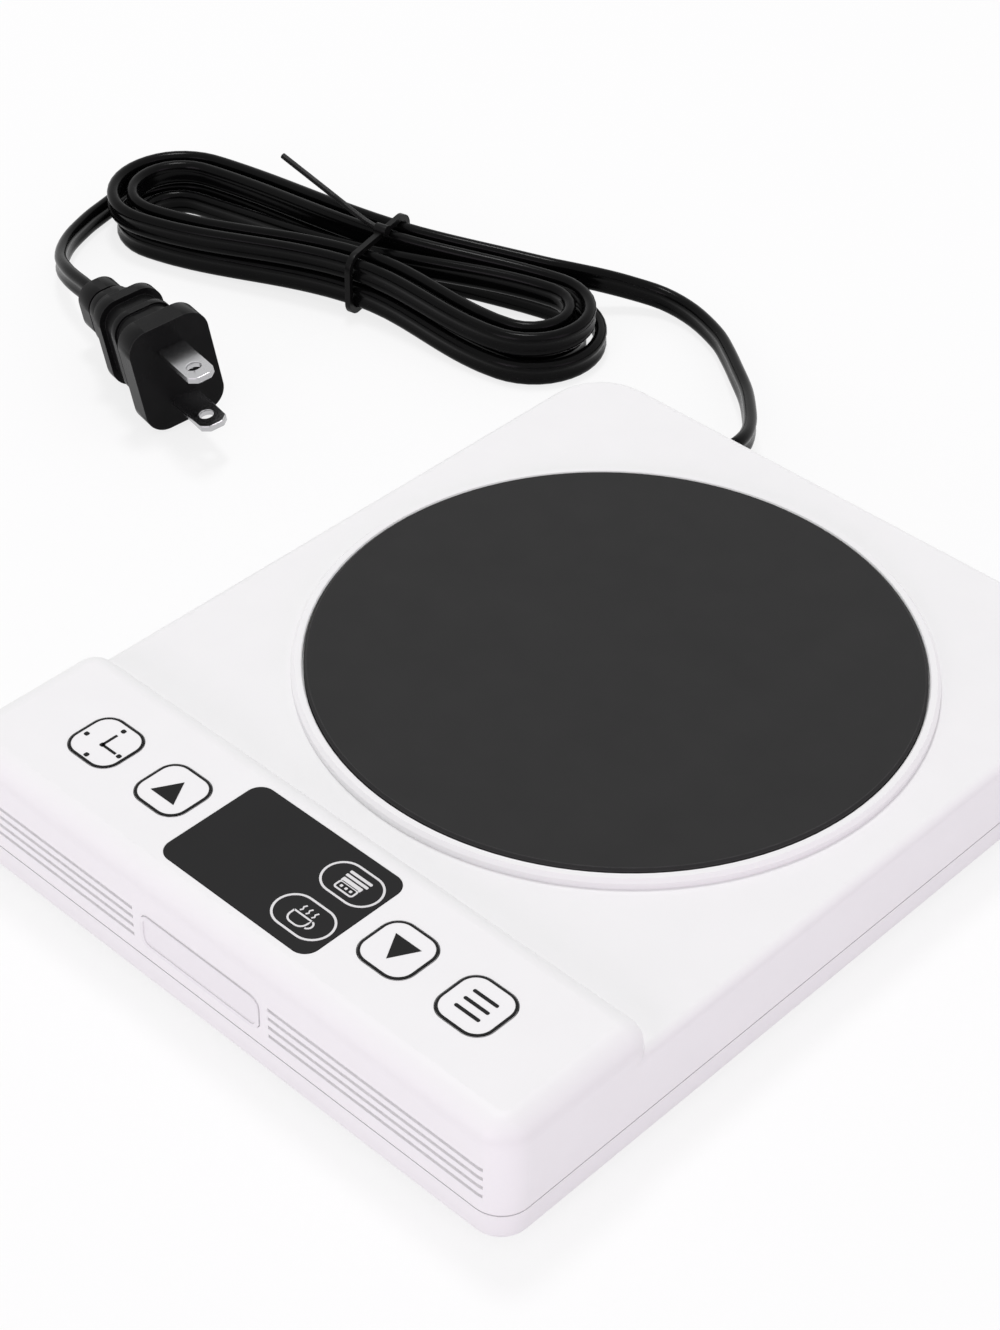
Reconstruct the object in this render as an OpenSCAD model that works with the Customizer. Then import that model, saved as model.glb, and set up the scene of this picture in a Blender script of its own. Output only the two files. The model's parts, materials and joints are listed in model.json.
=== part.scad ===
// Portable hot plate: a flat white case with a raised key console, a round
// heated plate, a heater stack and boards inside, and a flat mains cord tied in a hank.
// Millimetres. The origin is on the table, under the middle of the case. Front is -Y.

/* [Case] */
// Width of the case
body_w = 139; // [134:1:150]
// Depth of the case, front to back
body_d = 176; // [174:1:190]
// Height of the rear deck above the table
deck_z = 22.7; // [22:0.1:26]
// Height of the console above the deck
console_rise = 5.1; // [4.8:0.1:7]
// Depth of the console, from the front face to the foot of its step
console_d = 36; // [35.5:0.5:38]
// Height of the seam between the two shells
seam_z = 8; // [7.6:0.1:9]
// Wall of both shells
wall = 2.2; // [1.8:0.1:2.6]
// Thickness of the deck and of the console top
top_t = 2.4; // [2:0.1:2.6]
// Thickness of the floor of the lower shell
floor_t = 2.4; // [2:0.1:2.8]
// Radius of the upright front corners
front_r = 6; // [5:0.5:8]
// Radius of the upright rear corners
rear_r = 13; // [9:0.5:15]
// Rounding of the console's top edge
console_fillet = 4.6; // [3:0.1:4.8]
// Rounding of the deck's top edge
deck_fillet = 1.8; // [1:0.1:2.4]
// How far the lower shell slopes back under the front face
front_setback = 2.7; // [2:0.1:4]
// Rounding of the lower shell's bottom edge
base_fillet = 2; // [1:0.1:2.2]
// Gap between the shells at the seam
seam_gap = 0.3; // [0.2:0.05:0.5]

/* [Feet and case screws] */
// Height of the case above the table
foot_h = 1.5; // [1:0.1:2.5]
// Diameter of a foot
foot_d = 12; // [8:1:16]
// Distance of a foot's centre from the side of the case
foot_side = 13.5; // [12:0.5:18]
// Distance of a foot's centre from the front or back of the case
foot_end = 28; // [24:1:34]
// Distance of a case screw from the side of the case
screw_side = 9; // [8.5:0.5:10]
// Distance of a case screw from the front or back of the case
screw_end = 10.5; // [10:0.5:12]

/* [Hot plate] */
// Least distance from the plate's edge to the side of the case
plate_side = 11.1; // [10.6:0.1:16]
// Least distance from the plate's edge to the foot of the console's step
plate_front = 9.1; // [8.4:0.1:14]
// Height of the plate's top above the deck
plate_rise = 2.4; // [2:0.1:3.2]
// Distance from the plate's edge to the back of the case
plate_back = 14.1; // [13:0.1:18]
// Width of the ring round the plate
ring_w = 2.4; // [1.8:0.1:3.2]
// Height of the ring above the deck
ring_h = 2; // [1.6:0.1:2.4]
// Thickness of the heating element
element_t = 0.8; // [0.5:0.1:1.2]
// Thickness of the insulation pad
pad_t = 3; // [2:0.1:3.4]
// Thickness of the steel heater pan
pan_t = 0.8; // [0.5:0.1:1.2]

/* [Console] */
// Side of a square key
key_size = 11.6; // [10:0.1:12]
// Gap round a key
key_gap = 0.3; // [0.25:0.05:0.4]
// How far a key goes down
key_travel = 0.5; // [0.3:0.05:0.6]
// Distance of an outer key from the side of the case
key_side = 23.5; // [23:0.5:26]
// Distance between the two keys on one side
key_pitch = 18; // [15.5:0.5:18.5]
// Distance of the row of keys from the front face
key_front = 18.2; // [17.6:0.1:18.6]
// Distance from the display lens to the middle of the key beside it
lens_key = 9.5; // [8:0.5:12]
// Depth of the display lens
lens_d = 24.5; // [20:0.5:24.5]
// Thickness of the display lens
lens_t = 1.6; // [1.2:0.1:1.8]
// Width of the plate on the front face
badge_w = 30; // [20:1:32]
// Height of the plate on the front face
badge_h = 7.5; // [6:0.1:8]
// Number of grooves on each side of the front face
groove_count = 4; // [1:1:4]
// Step from groove to groove
groove_step = 2.1; // [1.6:0.1:2.2]
// Height of a groove
groove_h = 0.8; // [0.4:0.1:1]

/* [Cord] */
// Width of the flat cord
cord_w = 6; // [5:0.1:6.4]
// Thickness of the flat cord
cord_t = 3; // [2.6:0.1:3]
// Distance of the cord's outlet from the left side of the case
outlet_side = 31.5; // [28:0.5:40]
// Height of the cord's outlet above the seam
outlet_rise = 3.5; // [3.5:0.1:4]
// Length of the strain relief outside the case
relief_out = 7; // [6:0.5:10]
// Half of a straight run of the hank
hank_half = 49; // [44:1:54]
// Radius of the hank's outer fold
hank_r = 17.6; // [17:0.2:20]
// Step from one turn of the hank to the next
hank_step = 4.6; // [4.6:0.05:4.9]
// How far the runs are drawn in at the tied waist
hank_waist = 6.2; // [5:0.1:6.2]
// Diameter of the tie's wire
tie_d = 1.4; // [1:0.1:1.5]
// Length of the plug from the back of its sleeve to its face
plug_len = 40; // [38:1:46]

/* [Hidden] */
$fn = 64;
eps = 1;
white = [0.93, 0.93, 0.94];
charcoal = [0.2, 0.2, 0.2];
black = [0.1, 0.1, 0.1];
steel = [0.7, 0.7, 0.72];
board_green = [0.1, 0.35, 0.2];

// Levels of the case
half_w = body_w / 2;
half_d = body_d / 2;
floor_z = foot_h + floor_t;
console_z = deck_z + console_rise;
deck_under = deck_z - top_t;
console_under = console_z - top_t;
lip_h = 2.2;
lip_t = 1.2;
lip_gap = 0.2;
console_back = -half_d + console_d;
console_r = console_fillet + 0.4;

// Screws: shank, head and the hole that the shank fits
shank_r = 1.2;
shank_fit = 0.05;
head_r = 2.8;
head_h = 1.8;
hole_r = 1.6;
post_r = 3.4;
boss_r = 4.4;
boss_top = seam_z + 1.4;
head_seat = foot_h + 4;
case_shank = 10;
bore_spare = 0.5;
post_bore = head_seat + case_shank + bore_spare - boss_top;
foot_sink = 0.8;
foot_edge = 0.6;
foot_gap = 0.2;
screw_x = half_w - screw_side;
screw_y = half_d - screw_end;

// Levels of the heater stack, from the plate down
plate_d = min(body_d - console_d - plate_front - plate_back, body_w - 2 * plate_side);
plate_r = plate_d / 2;
plate_y = half_d - plate_back - plate_r;
plate_top = deck_z + plate_rise;
ring_lip = 0.6;
ring_gap = 0.25;
ring_edge = 0.7;
plate_edge = 0.5;
flange_under = deck_z + ring_lip;
plate_lap = 1.2;
bore_r = plate_r - plate_lap;
plug_fit = 0.4;
plate_under = deck_under + 0.2;
element_under = plate_under - element_t;
pad_under = element_under - pad_t;
pan_under = pad_under - pan_t;
pan_out = 2.8;
pan_r = bore_r + pan_out;
stack_in = 7.2;
stack_r = bore_r - stack_in;
mount_in = 17;
mount_r = bore_r - mount_in;
mount_boss_r = 3.5;
stack_gap = 0.7;
mount_angles = [30, 150, 270];
heater_grip = 4;
terminal_x = 10;
terminal_y = -22;
terminal_r = 1.5;
terminal_end = pan_under - 2.5;
sensor_r = 2;
sensor_flange_r = 4;
sensor_flange_t = 0.8;
sensor_drop = 1;
clip_t = 0.6;
clip_w = 7;
clip_half = 13;
fuse_r = 2;
fuse_len = 12;
fuse_y = 22;
fuse_gap = 0.3;
fuse_z = pan_under - fuse_gap - fuse_r;

// Levels of the console
key_y = -half_d + key_front;
key_outer = half_w - key_side;
key_inner = key_outer - key_pitch;
lens_w = 2 * (key_inner - lens_key);
key_corner = 3.6;
key_hole = key_size + 2 * key_gap;
key_proud = 0.1;
key_flange = 1.1;
key_flange_t = 1;
key_clear = 0.3;
flange_top = console_under - key_clear;
flange_low = flange_top - key_flange_t;
plunger_r = 1.6;
plunger_fit = 0.06;
plunger_len = 1.9;
plunger_end = flange_low - plunger_len;
switch_side = 6;
switch_gap = 0.7;
switch_top = flange_low - key_travel - switch_gap;
board_t = 1.6;
board_drop = 6.2;
control_top = console_under - board_drop;
control_under = control_top - board_t;
board_gap = 2.6;
control_w = 2 * (screw_x - post_r - board_gap);
control_d = 26;
control_post_r = 2.5;
control_screw_x = control_w / 2 - control_post_r;
control_screw_y = 10.4;
control_shank_r = 0.9;
control_head_r = 1.9;
control_head_h = 1.4;
control_grip = 4;
lens_gap = 0.1;
lens_proud = 0.1;
lens_seat = console_z + lens_proud - lens_t;
lens_corner = 3;
window_inset = 2;
badge_t = 1;
badge_sink = 0.7;
badge_fit = 0.1;
badge_corner = 2.2;
front_shift = -1.8;
front_mid = seam_z + 6.75;
groove_depth = 0.8;
groove_inner = badge_w / 2 + 2.1;
groove_outer = half_w - 4.6;

// Power board in the lower shell, under the console
standoff_h = 1.6;
power_under = floor_z + standoff_h;
power_top = power_under + board_t;
power_gap = 4.1;
power_w = 2 * (screw_x - boss_r - power_gap);
power_d = 25;
power_y = key_y + 0.3;
power_back = power_y + power_d / 2;
power_screw_x = power_w / 2 - 3;
power_screw_y = power_d / 2 - 2.6;
standoff_r = 2.6;
pierce_depth = 1.3;
shank_end = 0.3;
part_h = 8.5;
inlet_in = 13;
inlet_x = inlet_in - power_w / 2;

// Pieces on the power board: places from its middle, and sizes
block_at = [inlet_x, 7.5];
block_w = 12;
block_d = 10;
block_mid = 4;
coil_at = [-4, -4];
coil_side = 13;
core_w = 10;
core_d = 8;
core_h = 2;
holder_gap = 6.5;
holder_half = 8;
holder_t = 4;
holder_w = 7;
cartridge_r = 2.5;
cartridge_len = 20;
cartridge_z = 4;
holder_at = [coil_at[0] - coil_side / 2 - holder_gap - cartridge_len / 2, -6.5];
relay_at = [28, 5];
relay_w = 19;
relay_d = 10;
can_at = [10, -9.5];
can_r = 4;
can_len = 12;
buzzer_at = [28, -6];
buzzer_r = 5.5;
buzzer_h = 6;
buzzer_hole_r = 1;
ribbon_at = [10, 7];
ribbon_w = 16;
ribbon_t = 0.9;

// Wires inside: radii, and how far they run below what they leave
heater_wire_r = 0.9;
heater_wire_drop = 4;
heater_wire_run = 20;
heater_wire_rise = 6;
sensor_wire_r = 0.35;
sensor_wire_x = 1.2;
sensor_wire_drop = 4;
sensor_wire_bend = 12;
sensor_wire_run = 32;
sensor_wire_rise = 8;
solder_in = 2;
solder_rise = 2.2;
cord_entry_z = power_top + block_mid + 0.2;
cord_entry_run = 4;

// Cord outlet, strain relief and inner clamp
outlet_x = half_w - outlet_side;
outlet_z = seam_z + outlet_rise;
neck_side = 7;
neck_fit = 0.1;
notch_spare = 9;
notch_w = neck_side + notch_spare;
collar_t = 3;
collar_r = 5;
relief_in = 10.8;
sleeve_r = 3.5;
relief_end = half_d + relief_out;
inner_z = floor_z + cord_w / 2 + 0.05;
clamp_in = 24;
clamp_y = half_d - clamp_in;
clamp_x = -outlet_x - 4.5;
clamp_half = 7.5;
clamp_w = 22;
clamp_d = 6;
clamp_t = 2;
clamp_grip = 4.5;
clamp_z = floor_z + cord_w + 0.4;
clamp_boss_r = 2.8;

// Route of the free cord in plan, measured from the end of the strain relief, and its heights
table_z = cord_w / 2 + 0.05;
cord_origin = [-outlet_x, relief_end, 0];
lead_points = [
    [0, 0, outlet_z], [0, 3, outlet_z], [-1.5, 7.5, 10.6], [-4.5, 12.5, 9.4], [-8.5, 17.5, 8.2],
    [-16, 25.5, 6.2], [-24.5, 32.5, 4.8], [-31, 37.5, 4], [-38, 42, 3.5], [-48, 45.5, 3.4],
    [-57, 45.5, 4], [-64.5, 41.5, 5.6], [-70.5, 36, 7.8]
];
tail_points = [[-175.5, -35.5, 3.6], [-167.5, -44.5, 5.6], [-158, -49.8, 8.2]];
plug_back = [-142, -54.3, 10.65];
plug_turn = -14.4;
plug_tilt = 5;
plug_roll = 8.5;
plug_dir = [cos(plug_turn) * cos(plug_tilt), sin(plug_turn) * cos(plug_tilt), sin(plug_tilt)];

// Hank: two layers of two turns, spiralling in above and out below
hank_mid = [-117.5, 2];
hank_angle = 13.5;
waist_mid = 7;
hank_turns = 2;
layer_gap = 0.5;
layer_step = cord_w + layer_gap;
waist_lift = tie_d + 0.5;
rings_per_turn = 24;
first_ring = 1;
last_ring = 105;

// Sections of the flat cord, with its width upright
flat_8 = [for (p = [[0.5, 1], [1, 0.55], [1, -0.55], [0.5, -1]]) [p[0] * cord_t / 2, p[1] * cord_w / 2]];
section_8 = concat(
    [for (k = [3 : -1 : 0]) flat_8[k]],
    [for (k = [0 : 3]) [-flat_8[k][0], flat_8[k][1]]]
);
section_6 = [for (p = [[0.55, -1], [1, 0], [0.55, 1], [-0.55, 1], [-1, 0], [-0.55, -1]])
    [p[0] * cord_t / 2, p[1] * cord_w / 2]];
function round_section(r) = [for (k = [0 : 7]) [r * cos(45 * k), r * sin(45 * k)]];

// Smooth curve through points, with steps samples from point to point
function curve_point(a, b, c, d, t) =
    0.5 * (2 * b + (c - a) * t + (2 * a - 5 * b + 4 * c - d) * t * t + (3 * b - a - 3 * c + d) * t * t * t);
function curve(points, steps) = [
    for (i = [0 : len(points) - 2])
        for (k = [0 : steps - 1])
            curve_point(
                points[max(i - 1, 0)], points[i], points[i + 1],
                points[min(i + 2, len(points) - 1)], k / steps
            ),
    points[len(points) - 1]
];
function unit(v) = v / norm(v);

// Curve whose first and last stretch is straight, square to what it meets
function route(points, steps) = concat(
    [points[0]], curve([for (i = [1 : len(points) - 2]) points[i]], steps), [points[len(points) - 1]]
);

// Tube swept along points. ref is a direction that the route never follows.
module tube(points, section, ref = [0, 0, 1]) {
    n = len(points);
    m = len(section);
    rings = [
        for (i = [0 : n - 1])
            let (
                t = unit(points[min(i + 1, n - 1)] - points[max(i - 1, 0)]),
                side = unit(cross(ref, t)),
                up = cross(t, side)
            )
            for (s = section) points[i] + s[0] * side + s[1] * up
    ];
    walls = [
        for (i = [0 : n - 2])
            for (k = [0 : m - 1])
                let (a = i * m + k, b = i * m + (k + 1) % m)
                each [[a, a + m, b + m], [a, b + m, b]]
    ];
    caps = [
        for (k = [1 : m - 2])
            each [[0, k, k + 1], [(n - 1) * m, (n - 1) * m + k + 1, (n - 1) * m + k]]
    ];
    polyhedron(points = rings, faces = concat(walls, caps), convexity = 10);
}

// One point of the hank in its own axes, u along the runs and v across, at a count of turns
function loop_point(f, r) =
    let (q = f * 4, s = floor(q), g = q - s)
    s == 0 ? [hank_half * (1 - 2 * g), r] :
    s == 1 ? [-hank_half + r * cos(90 + 180 * g), r * sin(90 + 180 * g)] :
    s == 2 ? [hank_half * (2 * g - 1), -r] :
    [hank_half + r * cos(180 * g - 90), r * sin(180 * g - 90)];
function waist_share(u) =
    let (reach = u < waist_mid ? hank_half + waist_mid : hank_half - waist_mid)
    abs(u) < hank_half ? pow(cos(90 * (u - waist_mid) / reach), 2) : 0;
function hank_radius(turn) =
    turn < hank_turns ? hank_r - hank_step * turn :
    turn < hank_turns + 0.25 ? hank_r - hank_step * hank_turns :
    hank_r - hank_step * (2 * hank_turns + 0.25 - turn);
function hank_layer(turn) =
    let (g = min(max((turn - hank_turns) * 4, 0), 1))
    1 - g * g * (3 - 2 * g);
function hank_place(u, v, z) = [
    hank_mid[0] + u * cos(hank_angle) - v * sin(hank_angle),
    hank_mid[1] + u * sin(hank_angle) + v * cos(hank_angle),
    z
];
function hank_point(turn) =
    let (
        p = loop_point(turn - floor(turn), hank_radius(turn)),
        w = waist_share(p[0])
    )
    hank_place(
        p[0],
        p[1] - sign(p[1]) * hank_waist * w,
        table_z + layer_step * hank_layer(turn) + waist_lift * w
    );
hank_rings = [for (k = [first_ring : last_ring]) hank_point(k / rings_per_turn)];
hank_in = unit(hank_rings[1] - hank_rings[0]);
hank_out = hank_place(0, -1, 0) - hank_place(0, 0, 0);
hank_start = hank_rings[0] - cord_w * hank_in;
hank_end = hank_rings[len(hank_rings) - 1] + cord_w * hank_out;
hank_path = concat([hank_start], hank_rings, [hank_end]);

// Least gap of the hank to itself, on its points: beside each other or one above the other
function flat_gap(a, b) = max(norm([a[0] - b[0], a[1] - b[1]]) - cord_t, abs(a[2] - b[2]) - cord_w);
hank_gap = min([
    for (i = [0 : len(hank_rings) - 1])
        for (j = [i + 8 : 1 : len(hank_rings) - 1]) flat_gap(hank_rings[i], hank_rings[j])
]);
echo(hank_least_gap_mm = hank_gap);

lead_path = route(concat(lead_points, [hank_start - cord_w * hank_in, hank_start]), 2);
tail_path = route(concat([hank_end, hank_end + cord_w * hank_out], tail_points,
    [plug_back - cord_w * plug_dir, plug_back]), 2);

// What a corner of radius r loses, with the arc's centre at the origin
module corner_cut(r) {
    difference() {
        square(r + eps);
        circle(r);
    }
}

// Rectangle from y0 to y1 with front and rear corner radii rf and rr
module plan(w, y0, y1, rf, rr) {
    difference() {
        translate([-w / 2, y0]) square([w, y1 - y0]);
        for (s = [0, 1]) mirror([s, 0]) {
            translate([w / 2 - rf, y0 + rf]) mirror([0, 1]) corner_cut(rf);
            translate([w / 2 - rr, y1 - rr]) corner_cut(rr);
        }
    }
}
module round_rect(w, d, r) {
    plan(w, -d / 2, d / 2, r, r);
}
module round_plate(w, d, r, h) {
    linear_extrude(h) round_rect(w, d, r);
}

// Half section of a block's edge: radius r out to the face, rounded by f at the top
module edge_profile(r, h, f) {
    difference() {
        square([r, h]);
        translate([r - f, h - f]) corner_cut(f);
    }
}
module edge_strip(len, r, h, f) {
    rotate([90, 0, 90]) linear_extrude(len) edge_profile(r, h, f);
}
module edge_corner(r, h, f) {
    rotate_extrude(angle = 90) edge_profile(r, h, f);
}

// Block from y0 to y1 with front and rear corner radii rf and rr and its top edge rounded by f
module filleted_block(w, y0, y1, h, rf, rr, f) {
    x = w / 2;
    lap = (min(rf, rr) - f) / 2;
    for (s = [0, 1]) mirror([s, 0, 0]) {
        translate([x - rf, y0 + rf, 0]) rotate(-90) edge_corner(rf, h, f);
        translate([x - rr, y1 - rr, 0]) edge_corner(rr, h, f);
        translate([x - rf, y0 + rf, 0]) rotate(90) mirror([0, 1, 0]) edge_strip(y1 - y0 - rf - rr, rf, h, f);
    }
    translate([x - rf, y0 + rf, 0]) rotate(180) edge_strip(w - 2 * rf, rf, h, f);
    translate([-x + rr, y1 - rr, 0]) edge_strip(w - 2 * rr, rr, h, f);
    translate([-x + rf - lap, y0 + rf - lap, 0])
        cube([w - 2 * (rf - lap), y1 - y0 - rf - rr + 2 * lap, h]);
}

// Prism of the case's plan, inset all round
module case_prism(inset, z0, z1, y1 = half_d) {
    rr = (y1 == half_d ? rear_r : console_r) - inset;
    translate([0, 0, z0]) linear_extrude(z1 - z0)
        plan(body_w - 2 * inset, -half_d + inset, y1 - inset, max(front_r - inset, 1), max(rr, 1));
}

// Copies at the four case screws
module at_case_screws() {
    for (sx = [-1, 1], sy = [-1, 1]) translate([sx * screw_x, sy * screw_y, 0]) children();
}
module at_keys() {
    for (x = [-key_outer, -key_inner, key_inner, key_outer]) translate([x, key_y, 0]) children();
}
module at_control_screws() {
    for (sx = [-1, 1], sy = [-1, 1])
        translate([sx * control_screw_x, key_y + sy * control_screw_y, 0]) children();
}
module at_power_screws() {
    for (sx = [-1, 1], sy = [-1, 1])
        translate([sx * power_screw_x, power_y + sy * power_screw_y, 0]) children();
}
module at_heater_mounts() {
    for (a = mount_angles) translate([mount_r * cos(a), plate_y + mount_r * sin(a), 0]) children();
}
module at_terminals() {
    for (s = [-1, 1]) translate([s * terminal_x, plate_y + terminal_y, 0]) children();
}
module at_clamp_screws() {
    for (s = [-1, 1]) translate([clamp_x + s * clamp_half, clamp_y, 0]) children();
}

// Screw with its head below, the top of the head at z
module screw_up(z, len, r, hr, hh) {
    translate([0, 0, z - hh]) cylinder(r = hr, h = hh);
    translate([0, 0, z]) cylinder(r = r, h = len);
}
module screw_down(z, len, r, hr, hh) {
    translate([0, 0, z]) cylinder(r = hr, h = hh);
    translate([0, 0, z - len]) cylinder(r = r, h = len);
}

// Shells
module front_grooves() {
    right = front_shift + groove_inner;
    left = front_shift - groove_inner;
    for (k = [0 : groove_count - 1])
        translate([0, -half_d - eps, front_mid + (k - (groove_count - 1) / 2) * groove_step - groove_h / 2]) {
            translate([right, 0, 0]) cube([groove_outer - right, groove_depth + eps, groove_h]);
            translate([-groove_outer, 0, 0]) cube([groove_outer + left, groove_depth + eps, groove_h]);
        }
}
module on_front(z) {
    translate([front_shift, -half_d, z]) rotate([90, 0, 0]) children();
}
module top_case() {
    color(white) difference() {
        union() {
            difference() {
                union() {
                    translate([0, 0, seam_z])
                        filleted_block(body_w, -half_d, half_d, deck_z - seam_z,
                            front_r, rear_r, deck_fillet);
                    translate([0, 0, seam_z])
                        filleted_block(body_w, -half_d, console_back, console_z - seam_z,
                            front_r, console_r, console_fillet);
                }
                case_prism(wall, seam_z - eps, deck_under);
                case_prism(wall + 0.2, seam_z, console_under, console_back);
            }
            at_case_screws()
                translate([0, 0, boss_top]) cylinder(r = post_r, h = deck_under - boss_top + eps);
            for (s = [-1, 1])
                translate([s * screw_x, -screw_y, deck_under])
                    cylinder(r = post_r, h = console_under - deck_under + eps / 2);
            at_control_screws()
                translate([0, 0, control_top])
                    cylinder(r = control_post_r, h = console_under - control_top + eps);
        }
        at_case_screws()
            translate([0, 0, boss_top - eps]) cylinder(r = shank_r + shank_fit, h = post_bore + eps);
        at_control_screws()
            translate([0, 0, control_top - eps])
                cylinder(r = control_shank_r + shank_fit, h = control_grip + bore_spare + eps);
        translate([0, plate_y, deck_under - eps]) cylinder(r = bore_r, h = top_t + 2 * eps);
        at_keys()
            translate([0, 0, console_under - eps])
                round_plate(key_hole, key_hole, key_corner + key_gap, top_t + 2 * eps);
        translate([0, key_y, lens_seat]) round_plate(
            lens_w + 2 * lens_gap, lens_d + 2 * lens_gap, lens_corner + lens_gap, lens_t + eps);
        translate([0, key_y, console_under - eps])
            round_plate(lens_w - 2 * window_inset, lens_d - 2 * window_inset, 1, top_t + 2 * eps);
        on_front(front_mid) translate([0, 0, -badge_sink]) round_plate(
            badge_w + 2 * badge_fit, badge_h + 2 * badge_fit, badge_corner + badge_fit, badge_sink + eps);
        front_grooves();
        translate([-outlet_x - neck_side / 2 - neck_fit, half_d - wall - eps, seam_z - eps])
            cube([neck_side + 2 * neck_fit, wall + 2 * eps, neck_side + neck_fit + eps]);
    }
}
module bottom_cover() {
    rim_z = seam_z - seam_gap;
    slope = atan(front_setback / (rim_z - foot_h));
    color(white) difference() {
        union() {
            difference() {
                translate([0, 0, rim_z]) mirror([0, 0, 1])
                    filleted_block(body_w, -half_d, half_d, rim_z - foot_h, front_r, rear_r, base_fillet);
                case_prism(wall + lip_gap + lip_t, floor_z, seam_z + eps);
            }
            difference() {
                case_prism(wall + lip_gap, floor_z, seam_z + lip_h);
                case_prism(wall + lip_gap + lip_t, floor_z - eps, seam_z + lip_h + eps);
                translate([-outlet_x - notch_w / 2, half_d - rear_r / 2, floor_z])
                    cube([notch_w, rear_r / 2, seam_z + lip_h]);
            }
            translate([-outlet_x - notch_w / 2, half_d - wall - lip_gap - lip_t - eps / 2, floor_z])
                cube([notch_w, lip_t + eps / 2, rim_z - floor_z]);
            at_case_screws()
                translate([0, 0, floor_z - eps]) cylinder(r = boss_r, h = boss_top - floor_z + eps);
            at_power_screws()
                translate([0, 0, floor_z - eps]) cylinder(r = standoff_r, h = power_under - floor_z + eps);
            at_clamp_screws()
                translate([0, 0, floor_z - eps]) cylinder(r = clamp_boss_r, h = clamp_z - floor_z + eps);
        }
        translate([-half_w - eps, -half_d, rim_z]) rotate([-slope, 0, 0])
            translate([0, -2 * front_setback, -2 * rim_z])
                cube([body_w + 2 * eps, 2 * front_setback, 2 * rim_z]);
        at_case_screws() {
            translate([0, 0, foot_h - eps]) cylinder(r = head_r + 0.4, h = head_seat - foot_h + eps);
            translate([0, 0, foot_h]) cylinder(r = hole_r, h = boss_top);
        }
        at_power_screws()
            translate([0, 0, floor_z - pierce_depth]) cylinder(r = shank_r + shank_fit, h = power_under);
        at_clamp_screws()
            translate([0, 0, floor_z]) cylinder(r = shank_r + shank_fit, h = clamp_z);
        at_feet() translate([0, 0, foot_h - eps]) cylinder(r = foot_d / 2 + foot_gap, h = foot_sink + eps);
    }
}
module at_feet() {
    for (sx = [-1, 1], sy = [-1, 1])
        translate([sx * (half_w - foot_side), sy * (half_d - foot_end), 0]) children();
}
module rubber_feet() {
    color(charcoal) at_feet() rotate_extrude() polygon([
        [0, 0], [foot_d / 2 - foot_edge, 0], [foot_d / 2, foot_edge],
        [foot_d / 2, foot_h + foot_sink], [0, foot_h + foot_sink]
    ]);
}
module case_screws() {
    cross_len = 3.6;
    cross_w = 0.9;
    cross_deep = 0.9;
    color(steel) at_case_screws() difference() {
        screw_up(head_seat, case_shank, shank_r, head_r, head_h);
        for (turn = [45, 135]) rotate(turn)
            translate([-cross_len / 2, -cross_w / 2, head_seat - head_h - eps])
                cube([cross_len, cross_w, cross_deep + eps]);
    }
}

// Heater stack
module plate_ring() {
    outer = plate_r + ring_w;
    color(white) translate([0, plate_y, deck_z]) rotate_extrude($fn = 128) polygon([
        [bore_r, 0], [outer, 0], [outer, ring_h - ring_edge], [outer - ring_edge, ring_h],
        [plate_r + 2 * ring_gap, ring_h], [plate_r + ring_gap, ring_h - ring_gap],
        [plate_r + ring_gap, ring_lip], [bore_r, ring_lip]
    ]);
}
module hot_plate() {
    color(charcoal) difference() {
        union() {
            translate([0, plate_y, 0]) rotate_extrude($fn = 128) polygon([
                [0, plate_under], [bore_r - plug_fit, plate_under], [bore_r - plug_fit, flange_under],
                [plate_r, flange_under], [plate_r, plate_top - plate_edge],
                [plate_r - plate_edge, plate_top], [0, plate_top]
            ]);
            at_heater_mounts()
                translate([0, 0, pad_under]) cylinder(r = mount_boss_r, h = plate_under - pad_under + eps);
        }
        at_heater_mounts()
            translate([0, 0, pad_under - eps]) cylinder(r = shank_r + shank_fit, h = heater_grip + 1 + eps);
    }
}
module stack_disc(z, t, r) {
    difference() {
        translate([0, plate_y, z]) cylinder(r = r, h = t);
        at_heater_mounts() translate([0, 0, z - eps]) cylinder(r = mount_boss_r + stack_gap, h = t + 2 * eps);
        translate([0, plate_y, z - eps]) cylinder(r = sensor_r + stack_gap, h = t + 2 * eps);
    }
}
module heating_element() {
    color([0.75, 0.65, 0.45]) {
        stack_disc(element_under, element_t, stack_r);
        at_terminals()
            translate([0, 0, terminal_end])
                cylinder(r = terminal_r, h = element_under - terminal_end + eps / 2);
    }
}
module insulation_pad() {
    color([0.9, 0.88, 0.8]) difference() {
        stack_disc(pad_under, pad_t, stack_r + 1);
        at_terminals()
            translate([0, 0, pad_under - eps]) cylinder(r = terminal_r + stack_gap, h = pad_t + 2 * eps);
    }
}
module heater_pan() {
    color(steel) difference() {
        translate([0, plate_y, 0]) rotate_extrude($fn = 128) polygon([
            [sensor_r + stack_gap, pan_under], [pan_r, pan_under], [pan_r, deck_under],
            [pan_r - pan_t, deck_under], [pan_r - pan_t, pad_under], [sensor_r + stack_gap, pad_under]
        ]);
        at_heater_mounts() translate([0, 0, pan_under - eps]) cylinder(r = hole_r, h = pan_t + 2 * eps);
        at_terminals()
            translate([0, 0, pan_under - eps]) cylinder(r = terminal_r + stack_gap, h = pan_t + 2 * eps);
    }
}
module heater_screws() {
    color(steel) at_heater_mounts() screw_up(pan_under, pan_t + heater_grip, shank_r, head_r, head_h);
}
module temperature_sensor() {
    flange_z = pan_under - sensor_drop - sensor_flange_t;
    color([0.8, 0.75, 0.6]) translate([0, plate_y, 0]) {
        translate([0, 0, flange_z]) cylinder(r = sensor_flange_r, h = sensor_flange_t);
        translate([0, 0, flange_z]) cylinder(r = sensor_r, h = plate_under - flange_z);
    }
}
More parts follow.
